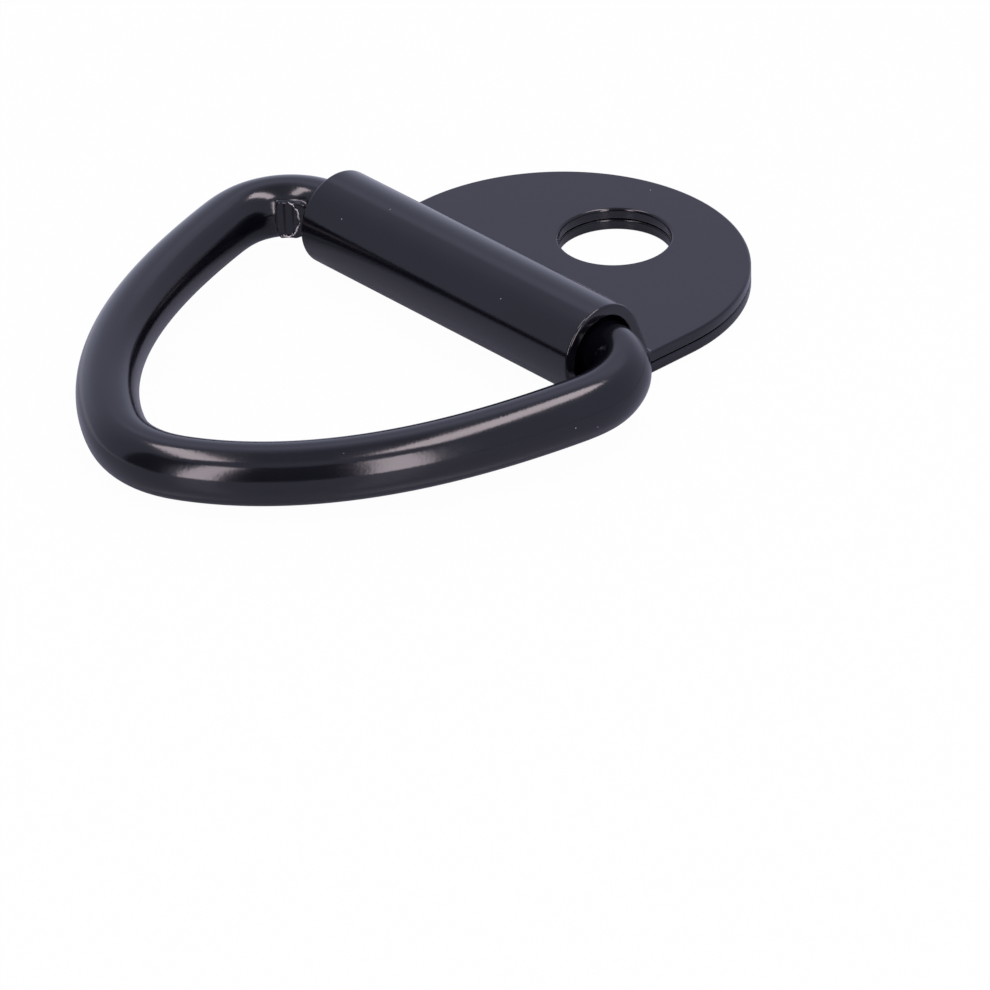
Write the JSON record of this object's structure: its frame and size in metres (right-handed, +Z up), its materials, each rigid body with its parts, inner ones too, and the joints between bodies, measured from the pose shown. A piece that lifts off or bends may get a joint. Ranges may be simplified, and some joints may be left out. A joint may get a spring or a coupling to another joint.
{
  "type": "v-ring tie down anchor",
  "caption": "Folded steel strap bracket with a bolt hole, carrying a V-shaped ring that swings in its barrel as a lashing point for straps, ropes and hooks.",
  "frame": {"origin": "centre of the bolt hole on the face that sits on the vehicle or rack", "axes": "+Z up out of the mounting face along the bolt, X along the barrel and the ring's swing axis, the ring lying towards -Y"},
  "size_m": [0.0564, 0.0745, 0.0098],
  "materials": {
    "bracket_paint": "smooth semi-gloss slate black paint over sheet steel",
    "ring_paint": "glossy slate black paint over round steel bar"
  },
  "bodies": {
    "bracket": {"folded_bracket": "bracket_paint"},
    "ring": {"v_ring": "ring_paint"}
  },
  "joints": [
    {"name": "ring_swing", "type": "hinge", "parent": "bracket", "child": "ring", "pos_m": [0, -0.01935, 0.005], "axis": [-1, 0, 0], "range_deg": [0, 185.5]}
  ]
}
